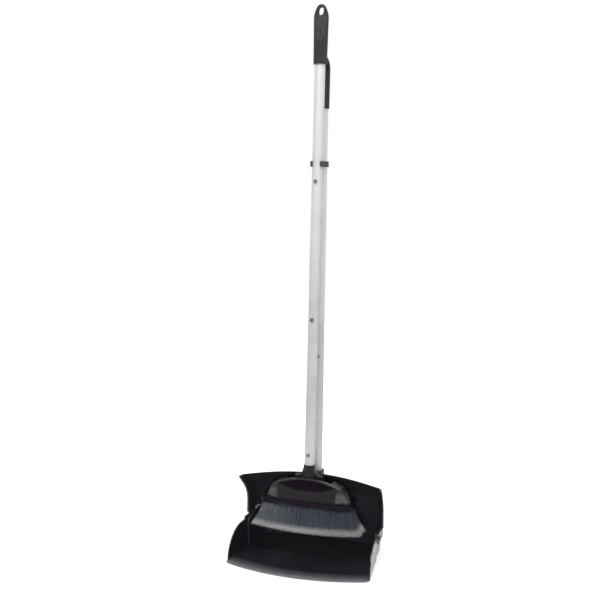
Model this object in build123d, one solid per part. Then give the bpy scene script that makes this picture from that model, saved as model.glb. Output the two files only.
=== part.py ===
from build123d import *
import os
from math import asin, atan, cos, degrees, pi, radians, sin, sqrt

# Upright dustpan with a lobby broom clipped to the front of its handle.
# The frame has X to the right, -Y to the front, where the sweeping lip is, and +Z up.
# The origin is on the floor, under the axis of the pan's handle. Sizes are in millimetres.

# Fits
SLIP = 0.05              # radial play of a piece that is pushed into or over another
RUNNING = 0.08           # radial play of the tray on its pins and of a button in its hole
PASSING = 0.5            # space between mouldings that pass each other
SPARE = 20.0             # how far a cutting shape runs past what it cuts
QUARTER_TURN = degrees(pi / 2)

# Pan hood: a base, wider cheeks and a back above it, and hinge ears, in one moulding
LIP_HALF_WIDTH = 136.0   # corners of the tray's lip, the widest part of the floor
LIP_SPLAY = 12.0         # the hood's floor is this much narrower at its mouth, each side
BASE_DRAFT_RATIO = 0.05  # the base leans out, per unit of height
BASE_TAPER_RATIO = 0.06  # the base closes in to the back at the floor, per unit of depth
LEDGE_HEIGHT = 54.0      # top of the base
LEDGE_RISE = 6.0         # height of the slope from the base out to the cheeks
CHEEK_FLARE = 11.2       # the cheeks are this much wider than the floor, each side
CHEEK_TAPER_RATIO = 0.22 # the cheeks close in to the back, per unit of depth
RIM_CLOSE = 7.0          # the cheeks come in again by this much at the rim
CLOSE_POWER = 2.2        # how late they do
HOOD_REAR = 52.0         # back wall at the floor
RIM_REAR = -24.0         # back wall at the rim
HOOD_CORNER = 34.0       # where a cheek turns into the back, at the floor
RIM_CORNER = -58.0       # the same at the rim
CORNER_RADIUS = 22.0     # of that turn, at the floor
RIM_CORNER_RADIUS = 12.0
RIM_HEIGHT = 154.0       # middle of the rim
RIM_DROP = 12.0          # the rim's tips are this much lower
TIP_LEVEL = 9.5          # the rim is level over this width at its tips
TURN_POWER = 2.8         # how late the corners come forward
LEAN_POWER = 1.7         # how late the back leans forward
MOUTH_Y = -38.0          # front edge of the base
BASE_ROUND = 9.0         # its round upper corner
CHEEK_SET_BACK = 21.0    # the cheeks start this far behind the base's front
TIP_REACH = 39.0         # the tips curl this far ahead of the cheeks
TIP_CURL = 64.0          # height of that curl
TIP_LEAN_RATIO = 0.78    # forward run of the tips, per unit of height
HOOD_WALL = 3.0
FLOOR_WALL = 2.5
BASE_LEVELS = 3          # plan outlines that shape the base
CHEEK_LEVELS = 5         # plan outlines that shape the cheeks and back

# Boss that holds the pan's handle
BOSS_RADIUS = 14.0
BOSS_TOP = 154.0
BOSS_LENGTH = 84.0
BOSS_ROUND = 2.5         # round upper edge
BOSS_FLOOR = 5.0
WEB_WIDTH = 5.0
BOLT_HEIGHT = 133.0
BOLT_RADIUS = 2.5
BOLT_HEAD_RADIUS = 4.2
BOLT_HEAD = 3.0
BOLT_END = 1.0           # thread past the nut
NUT_ACROSS = 8.0
NUT_HEIGHT = 4.0

# Tray: floor and two wings, each hinged between the hood's base and an ear outside it
HINGE_Y = -33.0
HINGE_Z = 46.0
HINGE_BOSS = 9.0         # radius of the wing around its pin
EAR_RADIUS = 12.0        # of the ear around the pin
EAR_WALL = 2.5
EAR_REAR = -8.0          # the ear's root on the base ends here
EAR_UNDERCUT = 6.0       # its root starts this far under the pin
PIN_RADIUS = 3.0
PIN_HEAD_RADIUS = 4.8
PIN_HEAD = 1.6
LIP_Y = -129.3           # where the sides would meet the lip
LIP_BULGE = 27.5         # the middle of the lip is this far ahead of that
LIP_CORNER = 12.0        # round corners of the lip
LIP_BAND = 28.0          # soft strip along the lip
LIP_EDGE = 0.8           # its thickness at the very edge
WING_WALL = 2.2
WING_SET_BACK = 9.5      # a wing starts this far behind the lip's corner
WING_CREST_Y = -60.0     # where the arched top of a wing turns level

# Handle tubes, three sections each
TUBE_RADIUS = 9.5
TUBE_WALL = 1.0
SPIGOT_LAP = 25.0        # overlap of two sections, each side of the button
SHOULDER = 1.5
SECTION_PITCH = 250.5    # from button to button
PAN_BUTTON = 373.0       # lower snap button of the pan's handle
BROOM_BUTTON_RISE = 19.0 # lower snap button of the broom's handle, above the ferrule

# Snap buttons and their hairpin springs
BUTTON_RADIUS = 3.4
BUTTON_PROUD = 2.4
BUTTON_EDGE = 0.9
BUTTON_FLANGE_RADIUS = 4.6
BUTTON_FLANGE = 1.0
SPRING_STRIP = 0.5
SPRING_WIDTH = 7.0
SPRING_ABOVE = 8.0
SPRING_BELOW = 12.0

# Grips
GRIP_RADIUS = 13.3
GRIP_END_RADIUS = 12.2
DOME_HEIGHT = 26.0       # rounded end, made of two arcs
DOME_TURN = 30.0         # where the side arc meets the crown arc, in degrees
EYE_HALF_DEPTH = 4.5     # the grip's end is thinned to an eye
EYE_LENGTH = 23.0
EYE_TAPER = 45.0         # length of the thinning
GRIP_WALL = 1.4          # least wall around the tube's end
HANG_SLOT_WIDTH = 10.0
HANG_SLOT_LENGTH = 14.5
HANG_SLOT_DROP = 12.4    # from the grip's end to the middle of the slot
PAN_GRIP_BOTTOM = 829.0
PAN_GRIP_LENGTH = 96.0
PAN_GRIP_RADIUS = 12.3
PAN_GRIP_END_RADIUS = 11.6
BROOM_GRIP_BOTTOM = 906.0
BROOM_GRIP_LENGTH = 105.0

# Clip on the pan's handle, with an open jaw for the broom's
CLIP_HEIGHT = 729.0
CLIP_DEPTH = 10.0
CLIP_WALL = 2.8
CLIP_WEB = 12.0
JAW_PLAY = 0.35
JAW_OPENING = 52.0       # half angle of the jaw's mouth, in degrees
JAW_BEAD = 2.0
CLIP_SCREW_RADIUS = 1.6
CLIP_SCREW_HEAD_RADIUS = 3.2
CLIP_SCREW_HEAD = 2.0
CLIP_SCREW_REACH = 5.0

# Broom: its own axis leans back against the pan's handle
BROOM_FOOT_Y = -59.0     # where the broom's axis would meet the floor
BROOM_LEAN_RATIO = 0.040 # backward run per unit of height

# Broom head
FERRULE_SINK = 2.0       # the collar is sunk this deep in the head
FERRULE_HEIGHT = 34.0    # from the collar's underside
FERRULE_PLUG = 20.0
FERRULE_PLUG_RADIUS = 7.0
FERRULE_COLLAR_RADIUS = 11.4
FERRULE_COLLAR = 3.0
FERRULE_NECK_RADIUS = 10.7
FERRULE_NECK = 13.0      # straight part of the neck
GUSSET_REACH = 26.0      # webs at both sides of the neck
GUSSET_DROP = 7.0        # from the ferrule's top to the webs
GUSSET_EDGE = 14.0       # height of a web at its end
GUSSET_HALF_DEPTH = 5.0
STUB_FLOOR = 2.0         # ferrule under the stub
TUBE_SEAT = 15.0         # how deep the lowest section enters the ferrule
BLOCK_BOTTOM = 103.0
BLOCK_HALF_WIDTH = 88.0
BLOCK_HALF_DEPTH = 18.0
BLOCK_BAR = 9.0          # height of the straight bar at its foot
BAR_CORNER = 8.0         # round corners of the bar, seen from above
BAR_ROUND = 2.0          # round upper edge of the bar
BODY_HALF_DEPTH = 17.0   # the arched body on the bar
FOOT_HALF_WIDTH = 80.0   # the body where it meets the bar
FACET_FROM = 55.0        # from here the body's front turns back to its ends
END_HALF_DEPTH = 3.0     # half depth that the ends taper to
SHOULDER_HALF_WIDTH = 67.0
SHOULDER_HEIGHT = 139.0
SHOULDER_ROUND = 10.0
CROWN_RISE = 16.0        # the arch's rise over the shoulders
RIDGE_ROUND = 1.6        # round edges of the arch
RIDGE_WIDTH = 3.5        # between the arch's edge and the recess
RIDGE_DEPTH = 6.5        # from the front to the step behind the ridge
CROWN_STEP = 9.0         # the crown is this much lower behind the ridge
STEP_HALF_WIDTH = 45.0
RECESS_HALF_WIDTH = 53.0
RECESS_LOW = 131.0       # where the recess starts, on the middle line
RECESS_DEPTH = 4.0       # under the ridge
CAVITY_HALF_WIDTH = 62.0
CAVITY_HALF_DEPTH = 9.0
CAVITY_TOP = 120.0
PLATE_HALF_WIDTH = 85.0
PLATE_HALF_DEPTH = 15.0
PLATE_BOTTOM = 101.5
PLATE_TOP = 109.0
PLATE_SCREW_X = 74.0
PLATE_SCREW_RADIUS = 1.6
PLATE_SCREW_HEAD_RADIUS = 2.6
PLATE_SCREW_HEAD = 2.0
PLATE_SCREW_BITE = 9.0

# Tufts
TUFTS_IN_ROW = 17
ROW_ROOTS = {"front": -12.0, "front_mid": -5.0, "rear_mid": 5.0, "rear": 12.0}
ROW_SPREAD_RATIO = 1.4   # a row's tips are this many times as far out as its roots
TUFT_ROOT_SPAN = 82.0    # outermost tuft at the plate
TUFT_TIP_SPAN = 101.0    # outermost tuft at its tip
TUFT_ROOT_RADIUS = 2.1   # in its hole
TUFT_NECK_RADIUS = 2.5   # where it leaves the plate
TUFT_RUN_UP_SHARE = 0.08 # share of its length that the cone is drawn past the plate before the cut
TUFT_TIP_RADIUS = 3.8
TUFT_HOLE = 5.0
TIP_HEIGHT = 51.0        # middle of the broom
TIP_RISE = 6.5           # the ends are trimmed this much higher

# Worked out from the sizes above
HOOD_HALF_WIDTH = LIP_HALF_WIDTH - LIP_SPLAY
CHEEK_Y = MOUTH_Y + CHEEK_SET_BACK
CHEEK_BOTTOM = LEDGE_HEIGHT + LEDGE_RISE
TUBE_BORE = TUBE_RADIUS - TUBE_WALL
SPIGOT_RADIUS = TUBE_BORE - 2 * SLIP
SPIGOT_BORE = SPIGOT_RADIUS - TUBE_WALL
RIM_TIP_HEIGHT = RIM_HEIGHT - RIM_DROP
BROOM_TILT = degrees(atan(BROOM_LEAN_RATIO))
LIP_RADIUS = (LIP_HALF_WIDTH**2 + LIP_BULGE**2) / (2 * LIP_BULGE)
LIP_FRONT = LIP_Y - LIP_BULGE
LIP_CENTRE_Y = LIP_FRONT + LIP_RADIUS
CROWN_HEIGHT = SHOULDER_HEIGHT + CROWN_RISE
CROWN_RADIUS = (SHOULDER_HALF_WIDTH**2 + CROWN_RISE**2) / (2 * CROWN_RISE)
CROWN_CENTRE = CROWN_HEIGHT - CROWN_RADIUS
FERRULE_SEAT = CROWN_HEIGHT - CROWN_STEP - FERRULE_SINK
FERRULE_TOP = FERRULE_SEAT + FERRULE_HEIGHT
GUSSET_TOP = FERRULE_TOP - GUSSET_DROP
BROOM_BUTTON = FERRULE_TOP + BROOM_BUTTON_RISE


def base_x(y, z):
    """Outer face of the hood's base, from the middle plane. Its taper fades out to the cheeks."""
    taper = BASE_TAPER_RATIO * (1 - z / CHEEK_BOTTOM)
    return HOOD_HALF_WIDTH + BASE_DRAFT_RATIO * z - taper * (y - MOUTH_Y)


def cheek_x(y, z):
    """Outer face of a cheek, from the middle plane."""
    rise = (z - CHEEK_BOTTOM) / (RIM_HEIGHT - CHEEK_BOTTOM)
    half = HOOD_HALF_WIDTH + CHEEK_FLARE - RIM_CLOSE * rise**CLOSE_POWER
    return half - CHEEK_TAPER_RATIO * (y - CHEEK_Y)


def wing_x(y, z):
    """Outer face of a wing, from the middle plane: from the lip's corner to just outside the base."""
    rear = base_x(MOUTH_Y, z) + PASSING + WING_WALL
    return rear + (LIP_HALF_WIDTH - rear) * max(0, MOUTH_Y - y) / (MOUTH_Y - LIP_Y)


RIM_HALF_WIDTH = cheek_x(CHEEK_Y - TIP_REACH, RIM_TIP_HEIGHT)
WING_CREST = HINGE_Z + HINGE_BOSS
WING_FRONT = LIP_Y + WING_SET_BACK
TRAY_REAR = MOUTH_Y - PASSING
EAR_X = wing_x(MOUTH_Y, WING_CREST) + PASSING


def across(y, z, radius, x0, x1):
    """Round bar along X."""
    return Pos((x0 + x1) / 2, y, z) * Rot(Y=QUARTER_TURN) * Cylinder(radius, x1 - x0)


def along_y(x, z, radius, y0, y1):
    """Round bar along Y."""
    return Pos(x, (y0 + y1) / 2, z) * Rot(X=QUARTER_TURN) * Cylinder(radius, y1 - y0)


def upright(x, y, radius, z0, z1):
    """Round bar along Z."""
    return Pos(x, y, (z0 + z1) / 2) * Cylinder(radius, z1 - z0)


def ring(outer, inner, z0, z1):
    return upright(0, 0, outer, z0, z1) - upright(0, 0, inner, z0, z1)


def block(x0, x1, y0, y1, z0, z1):
    return Pos((x0 + x1) / 2, (y0 + y1) / 2, (z0 + z1) / 2) * Box(x1 - x0, y1 - y0, z1 - z0)


def leaning(piece):
    """A piece of the broom, modelled on an upright axis, put on the broom's own axis."""
    return Location((0, BROOM_FOOT_Y, 0), (-BROOM_TILT, 0, 0)) * piece


def hood_outline(side_x, z, inset):
    """Plan outline of the hood at one height, a given distance inside its outer face."""
    rise = z / RIM_HEIGHT
    corner = HOOD_CORNER + (RIM_CORNER - HOOD_CORNER) * rise**TURN_POWER
    rear = HOOD_REAR + (RIM_REAR - HOOD_REAR) * rise**LEAN_POWER - inset
    front_half = side_x(LIP_FRONT, z) - inset
    rear_half = side_x(corner, z) - inset
    lines = Curve() + [
        Line((-front_half, LIP_FRONT), (front_half, LIP_FRONT)),
        Line((front_half, LIP_FRONT), (rear_half, corner)),
        ThreePointArc((rear_half, corner), (0, rear), (-rear_half, corner)),
        Line((-rear_half, corner), (-front_half, LIP_FRONT)),
    ]
    face = make_face(lines)
    corners = face.vertices().sort_by(Axis.Y)[-2:]
    radius = CORNER_RADIUS + (RIM_CORNER_RADIUS - CORNER_RADIUS) * rise
    return Pos(0, 0, z) * fillet(corners, radius - inset)


def levels(low, high, count):
    return [low + i * (high - low) / (count - 1) for i in range(count)]


def hood_form(bottom, inset):
    """Solid bounded by the hood's walls: base, sloping ledge and cheeks, running a little past the rim."""
    top = RIM_HEIGHT + SPARE / 2
    base = [hood_outline(base_x, z, inset) for z in levels(bottom, LEDGE_HEIGHT, BASE_LEVELS)]
    cheeks = [hood_outline(cheek_x, z, inset) for z in levels(CHEEK_BOTTOM, top, CHEEK_LEVELS)]
    return loft(base) + loft([base[-1], cheeks[0]], ruled=True) + loft(cheeks)


def mouth_cut():
    """Space ahead of the base and the cheeks, whose edges curl forward to the rim's tips."""
    curl_from = (CHEEK_Y, RIM_TIP_HEIGHT - TIP_CURL)
    tip = (CHEEK_Y - TIP_REACH, RIM_TIP_HEIGHT)
    past_tip = (tip[0] - SPARE, tip[1] + SPARE)
    base_front, base_top = (MOUTH_Y, LEDGE_HEIGHT - BASE_ROUND), (MOUTH_Y + BASE_ROUND, LEDGE_HEIGHT)
    front = LIP_FRONT - SPARE
    lines = Curve() + [
        Line((MOUTH_Y, -SPARE), base_front),
        TangentArc(base_front, base_top, tangent=(0, 1)),
        Polyline(base_top, (CHEEK_Y, LEDGE_HEIGHT), curl_from),
        Spline(curl_from, tip, tangents=[(0, 1), (-TIP_LEAN_RATIO, 1)]),
        Polyline(tip, past_tip, (front, past_tip[1]), (front, -SPARE), (MOUTH_Y, -SPARE)),
    ]
    return extrude(Plane.YZ * make_face(lines), cheek_x(front, CHEEK_BOTTOM), both=True)


def rim_cut():
    """Space above the rim, which is highest in the middle and level at its tips."""
    side = cheek_x(LIP_FRONT - SPARE, CHEEK_BOTTOM)
    top = RIM_HEIGHT + SPARE
    arch = RIM_HALF_WIDTH - TIP_LEVEL
    lines = Curve() + [
        ThreePointArc((-arch, RIM_TIP_HEIGHT), (0, RIM_HEIGHT), (arch, RIM_TIP_HEIGHT)),
        Polyline((arch, RIM_TIP_HEIGHT), (side, RIM_TIP_HEIGHT), (side, top), (-side, top),
                 (-side, RIM_TIP_HEIGHT), (-arch, RIM_TIP_HEIGHT)),
    ]
    return extrude(Plane.XZ * make_face(lines), abs(LIP_FRONT) + SPARE, both=True)


def hinge_ear():
    """Lug outside the end of the right wing, round about the pin, rooted on the base behind the wing."""
    outer = EAR_X + EAR_WALL
    low, high = HINGE_Z - EAR_UNDERCUT, CHEEK_BOTTOM - LEDGE_RISE / 2
    root_x = base_x(EAR_REAR, low) - HOOD_WALL / 2
    lug = across(HINGE_Y, HINGE_Z, EAR_RADIUS, EAR_X, outer)
    lug += block(EAR_X, outer, HINGE_Y, EAR_REAR, low, high)
    return lug + block(root_x, outer, HINGE_Y + HINGE_BOSS + PASSING, EAR_REAR, low, LEDGE_HEIGHT)


def pan_hood():
    outer = hood_form(0, 0)
    shell = outer - hood_form(FLOOR_WALL, HOOD_WALL) - mouth_cut() - rim_cut()
    boss_bottom = BOSS_TOP - BOSS_LENGTH
    boss = upright(0, 0, BOSS_RADIUS, boss_bottom, BOSS_TOP)
    boss = fillet(boss.faces().sort_by(Axis.Z)[-1].edges(), BOSS_ROUND)
    web = block(-WEB_WIDTH / 2, WEB_WIDTH / 2, 0, HOOD_REAR, boss_bottom, BOSS_TOP) & outer
    ear = hinge_ear()
    hood = shell + boss + web + ear + mirror(ear, Plane.YZ)
    hood -= upright(0, 0, TUBE_RADIUS + SLIP, boss_bottom + BOSS_FLOOR, BOSS_TOP + SPARE)
    hood -= across(0, BOLT_HEIGHT, BOLT_RADIUS + SLIP, -BOSS_RADIUS - SPARE, BOSS_RADIUS + SPARE)
    reach = RIM_HALF_WIDTH + SPARE
    return hood - across(HINGE_Y, HINGE_Z, PIN_RADIUS + SLIP, -reach, reach)


def handle_bolt():
    shank = across(0, BOLT_HEIGHT, BOLT_RADIUS, -BOSS_RADIUS - NUT_HEIGHT - BOLT_END, BOSS_RADIUS)
    head = across(0, BOLT_HEIGHT, BOLT_HEAD_RADIUS, BOSS_RADIUS, BOSS_RADIUS + BOLT_HEAD)
    return shank + head


def handle_nut():
    hexagon = RegularPolygon(NUT_ACROSS / 2, 6, major_radius=False) - Circle(BOLT_RADIUS + SLIP)
    nut = extrude(hexagon, NUT_HEIGHT)
    return Pos(-BOSS_RADIUS, 0, BOLT_HEIGHT) * Rot(Y=-QUARTER_TURN) * nut


def hinge_pins():
    """Headed pins, each through an ear, the wing's end and the wall of the base."""
    head_from = EAR_X + EAR_WALL + SLIP
    inner_end = base_x(HINGE_Y, HINGE_Z) - HOOD_WALL
    pin = across(HINGE_Y, HINGE_Z, PIN_RADIUS, inner_end, head_from)
    head = across(HINGE_Y, HINGE_Z, PIN_HEAD_RADIUS, head_from, head_from + PIN_HEAD)
    rim = head.faces().sort_by(Axis.X)[-1].edges()
    pin += fillet(rim, PIN_HEAD / 2)
    return [pin, mirror(pin, Plane.YZ)]


def wing_plan(z, outer, inner):
    """Plan of the right wing at one height, between two distances inside its outer face."""
    rear = HINGE_Y + HINGE_BOSS
    front_x, rear_x = wing_x(WING_FRONT, z), wing_x(MOUTH_Y, z)
    return Pos(0, 0, z) * make_face(Polyline(
        (rear_x - outer, rear), (rear_x - outer, MOUTH_Y), (front_x - outer, WING_FRONT),
        (front_x - inner, WING_FRONT), (rear_x - inner, MOUTH_Y), (rear_x - inner, rear),
        close=True))


def wing_profile():
    """Side view of a wing: an arched top from the lip, level to the pin, round about the pin."""
    pin_bottom, pin_top = (HINGE_Y, HINGE_Z - HINGE_BOSS), (HINGE_Y, WING_CREST)
    lines = Curve() + [
        EllipticalCenterArc((WING_CREST_Y, 0), WING_CREST_Y - WING_FRONT, WING_CREST, QUARTER_TURN,
                            arc_size=QUARTER_TURN),
        Polyline((WING_FRONT, 0), (HINGE_Y, 0), pin_bottom),
        ThreePointArc(pin_bottom, (HINGE_Y + HINGE_BOSS, HINGE_Z), pin_top),
        Line(pin_top, (WING_CREST_Y, WING_CREST)),
    ]
    return extrude(Plane.YZ * make_face(lines), LIP_HALF_WIDTH + SPARE)


def tray_plan():
    """Plan of the tray's floor and its lip, with round front corners."""
    left, right = (-LIP_HALF_WIDTH, LIP_Y), (LIP_HALF_WIDTH, LIP_Y)
    rear_x = wing_x(TRAY_REAR, 0)
    lines = Curve() + [
        Polyline(right, (rear_x, TRAY_REAR), (-rear_x, TRAY_REAR), left),
        ThreePointArc(left, (0, LIP_FRONT), right),
    ]
    face = make_face(lines)
    return fillet(face.vertices().sort_by(Axis.Y)[:2], LIP_CORNER)


def pan_tray():
    front = LIP_RADIUS - LIP_BAND
    plate = extrude(tray_plan() & (Pos(0, LIP_CENTRE_Y) * Circle(front)), FLOOR_WALL)
    plans = [wing_plan(z, 0, WING_WALL) for z in (0, WING_CREST + SPARE)]
    wing = loft(plans, ruled=True) & wing_profile()
    wing -= across(HINGE_Y, HINGE_Z, PIN_RADIUS + RUNNING, EAR_X - SPARE, EAR_X)
    return plate + wing + mirror(wing, Plane.YZ)


def tray_lip():
    """Wedge-shaped strip that follows the lip's arc, between the wings and round its corners."""
    rear = LIP_FRONT + LIP_BAND
    wedge = Plane.YZ * make_face(Polyline(
        (LIP_FRONT, 0), (LIP_FRONT, LIP_EDGE), (rear, FLOOR_WALL), (rear, 0), close=True))
    half_angle = degrees(asin((LIP_HALF_WIDTH + SPARE) / LIP_RADIUS))
    axis = Axis((0, LIP_CENTRE_Y, 0), (0, 0, 1))
    strip = revolve(wedge.rotate(axis, -half_angle), axis, 2 * half_angle)
    side = extrude(wing_plan(0, -SPARE, WING_WALL), SPARE, both=True)
    return (strip & extrude(tray_plan(), FLOOR_WALL)) - side - mirror(side, Plane.YZ)


def button_hole(z, inner, outer):
    return along_y(0, z, BUTTON_RADIUS + RUNNING, -outer - SPARE, -inner + TUBE_WALL)


def tube_section(bottom, top, top_button=None, spigot_button=None):
    """One handle section: a button hole near its top, and a drawn-in spigot with a hole at its foot."""
    tube = ring(TUBE_RADIUS, TUBE_BORE, bottom, top)
    if top_button:
        tube -= button_hole(top_button, TUBE_BORE, TUBE_RADIUS)
    if spigot_button:
        tube += ring(TUBE_RADIUS, SPIGOT_BORE, bottom, bottom + SHOULDER)
        spigot = ring(SPIGOT_RADIUS, SPIGOT_BORE, bottom - 2 * SPIGOT_LAP, bottom + SHOULDER)
        tube += spigot - button_hole(spigot_button, SPIGOT_BORE, SPIGOT_RADIUS)
    return tube


def snap_button(z):
    """Button on an upright axis, pointing to the front, with a flange inside the spigot."""
    flange_front = sqrt(SPIGOT_BORE**2 - BUTTON_FLANGE_RADIUS**2) - 2 * SLIP
    tip = TUBE_RADIUS + BUTTON_PROUD
    stem = along_y(0, z, BUTTON_RADIUS, -tip, -flange_front)
    stem = fillet(stem.faces().sort_by(Axis.Y)[0].edges(), BUTTON_EDGE)
    return stem + along_y(0, z, BUTTON_FLANGE_RADIUS, -flange_front, -flange_front + BUTTON_FLANGE)


def hairpin(z):
    """Flat spring strip bent to a U inside the spigot, one leg behind the button's flange."""
    flange_front = sqrt(SPIGOT_BORE**2 - BUTTON_FLANGE_RADIUS**2) - 2 * SLIP
    front = -flange_front + BUTTON_FLANGE + SLIP
    rear = sqrt(SPIGOT_BORE**2 - (SPRING_WIDTH / 2) ** 2) - SLIP
    top, bend = z + SPRING_ABOVE, z - SPRING_BELOW
    bow = (rear - front) / 2
    middle = (rear + front) / 2
    lines = Curve() + [
        Line((front, top), (front, bend)),
        ThreePointArc((front, bend), (middle, bend - bow), (rear, bend)),
        Polyline((rear, bend), (rear, top), (rear - SPRING_STRIP, top), (rear - SPRING_STRIP, bend)),
        ThreePointArc((rear - SPRING_STRIP, bend), (middle, bend - bow + SPRING_STRIP),
                      (front + SPRING_STRIP, bend)),
        Polyline((front + SPRING_STRIP, bend), (front + SPRING_STRIP, top), (front, top)),
    ]
    return extrude(Plane.YZ * make_face(lines), SPRING_WIDTH / 2, both=True)


def dome_radii(radius):
    """Radii of the side arc and the crown arc that close a grip's end without a break."""
    turn = radians(DOME_TURN)
    divisor = (1 - cos(turn)) * (1 - sin(turn)) - cos(turn) * sin(turn)
    side = (radius * (1 - sin(turn)) - DOME_HEIGHT * cos(turn)) / divisor
    crown = (DOME_HEIGHT * (1 - cos(turn)) - radius * sin(turn)) / divisor
    return side, crown


def grip_solid(radius):
    """Length of a grip's end that is too thin for the tube."""
    thinning = (TUBE_RADIUS + GRIP_WALL - EYE_HALF_DEPTH) / (radius - EYE_HALF_DEPTH)
    return EYE_LENGTH + EYE_TAPER * thinning


def hand_grip(bottom, length, radius, end_radius):
    """Grip with a domed end, thinned to an eye with a hang slot."""
    top = bottom + length
    dome_from = top - DOME_HEIGHT
    side, crown = dome_radii(radius)
    lines = Curve() + [
        Polyline((0, top), (0, bottom), (end_radius, bottom), (radius, dome_from)),
        CenterArc((radius - side, dome_from), side, 0, DOME_TURN),
        CenterArc((0, top - crown), crown, DOME_TURN, QUARTER_TURN - DOME_TURN),
    ]
    grip = revolve(Plane.XZ * make_face(lines), Axis.Z)
    reach = radius + SPARE
    thin = top - EYE_LENGTH
    past = thin - EYE_TAPER * (reach - EYE_HALF_DEPTH) / (radius - EYE_HALF_DEPTH)
    half = [(EYE_HALF_DEPTH, top + SPARE), (EYE_HALF_DEPTH, thin), (reach, past), (reach, bottom - SPARE)]
    paddle = make_face(Polyline(*half, *[(-y, z) for y, z in reversed(half)], close=True))
    grip &= extrude(Plane.YZ * paddle, reach, both=True)
    slot = Rot(Z=QUARTER_TURN) * SlotOverall(HANG_SLOT_LENGTH, HANG_SLOT_WIDTH)
    grip -= extrude(Plane.XZ * Pos(0, top - HANG_SLOT_DROP) * slot, reach, both=True)
    return grip - upright(0, 0, TUBE_RADIUS + SLIP, bottom - SPARE, top - grip_solid(radius))


def broom_clip():
    """Ring on the pan's handle, a web, and an open jaw with beaded lips for the broom's handle."""
    jaw_y = BROOM_FOOT_Y + BROOM_LEAN_RATIO * CLIP_HEIGHT
    low, high = CLIP_HEIGHT - CLIP_DEPTH / 2, CLIP_HEIGHT + CLIP_DEPTH / 2
    ring_outer = TUBE_RADIUS + SLIP + CLIP_WALL
    jaw_inner = TUBE_RADIUS + JAW_PLAY
    jaw_outer = jaw_inner + CLIP_WALL
    clip = upright(0, 0, ring_outer, low, high) + upright(0, jaw_y, jaw_outer, low, high)
    clip += block(-CLIP_WEB / 2, CLIP_WEB / 2, jaw_y, 0, low, high)
    clip -= upright(0, 0, TUBE_RADIUS + SLIP, low, high)
    clip -= upright(0, jaw_y, jaw_inner, low, high)
    reach = 2 * jaw_outer
    spread = sin(radians(JAW_OPENING))
    advance = cos(radians(JAW_OPENING))
    mouth = make_face(Polyline((0, 0), (-reach * spread, -reach * advance),
                               (reach * spread, -reach * advance), close=True))
    clip -= Pos(0, jaw_y, low) * extrude(mouth, CLIP_DEPTH)
    bead_at = jaw_inner + JAW_BEAD + SLIP
    for side in (-1, 1):
        clip += upright(side * bead_at * spread, jaw_y - bead_at * advance, JAW_BEAD, low, high)
    return clip - along_y(0, CLIP_HEIGHT, CLIP_SCREW_RADIUS + SLIP, 0, ring_outer + SPARE)


def clip_screw():
    """Screw through the back of the ring into the tube's wall."""
    seat = TUBE_RADIUS + SLIP + CLIP_WALL
    shank = along_y(0, CLIP_HEIGHT, CLIP_SCREW_RADIUS, seat - CLIP_SCREW_REACH, seat)
    return shank + along_y(0, CLIP_HEIGHT, CLIP_SCREW_HEAD_RADIUS, seat, seat + CLIP_SCREW_HEAD)


def crown_z(x, inset):
    """Height of the head's arched crown, a given distance inside it."""
    return CROWN_CENTRE + sqrt((CROWN_RADIUS - inset) ** 2 - x**2)


def gussets():
    """Webs at both sides of the neck, standing on the crown behind the ridge."""
    inset = CROWN_STEP - SLIP
    foot = crown_z(GUSSET_REACH, inset)
    left, right = (-GUSSET_REACH, foot), (GUSSET_REACH, foot)
    left_edge, right_edge = (-GUSSET_REACH, foot + GUSSET_EDGE), (GUSSET_REACH, foot + GUSSET_EDGE)
    left_top, right_top = (-FERRULE_NECK_RADIUS, GUSSET_TOP), (FERRULE_NECK_RADIUS, GUSSET_TOP)
    lines = Curve() + [
        ThreePointArc(left, (0, crown_z(0, inset)), right),
        Line(right, right_edge),
        TangentArc(right_top, right_edge, tangent=(0, -1)),
        Line(right_top, left_top),
        TangentArc(left_top, left_edge, tangent=(0, -1)),
        Line(left_edge, left),
    ]
    return extrude(Plane.XZ * make_face(lines), GUSSET_HALF_DEPTH, both=True)


def broom_ferrule():
    """Neck for the handle: a plug in the head, a collar sunk in its crown, a straight neck and webs."""
    neck_from = FERRULE_TOP - FERRULE_NECK
    plug_bottom = FERRULE_SEAT - FERRULE_PLUG
    collar_edge = FERRULE_SEAT + FERRULE_COLLAR
    lines = Curve() + [
        Polyline((0, FERRULE_TOP), (0, plug_bottom), (FERRULE_PLUG_RADIUS, plug_bottom),
                 (FERRULE_PLUG_RADIUS, FERRULE_SEAT), (FERRULE_COLLAR_RADIUS, FERRULE_SEAT),
                 (FERRULE_COLLAR_RADIUS, collar_edge)),
        TangentArc((FERRULE_NECK_RADIUS, neck_from), (FERRULE_COLLAR_RADIUS, collar_edge), tangent=(0, -1)),
        Polyline((FERRULE_NECK_RADIUS, neck_from), (FERRULE_NECK_RADIUS, FERRULE_TOP), (0, FERRULE_TOP)),
    ]
    neck = revolve(Plane.XZ * make_face(lines), Axis.Z) + gussets()
    neck -= upright(0, 0, TUBE_RADIUS + SLIP, FERRULE_TOP - TUBE_SEAT, FERRULE_TOP + SPARE)
    return neck - upright(0, 0, SPIGOT_RADIUS + SLIP, stub_bottom(), FERRULE_TOP)


def stub_bottom():
    return FERRULE_SEAT + STUB_FLOOR


def broom_stub():
    """Short tube in the ferrule that the lowest handle section slides over."""
    stub = ring(SPIGOT_RADIUS, SPIGOT_BORE, stub_bottom(), BROOM_BUTTON + SPIGOT_LAP)
    return stub - button_hole(BROOM_BUTTON, SPIGOT_BORE, SPIGOT_RADIUS)


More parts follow.
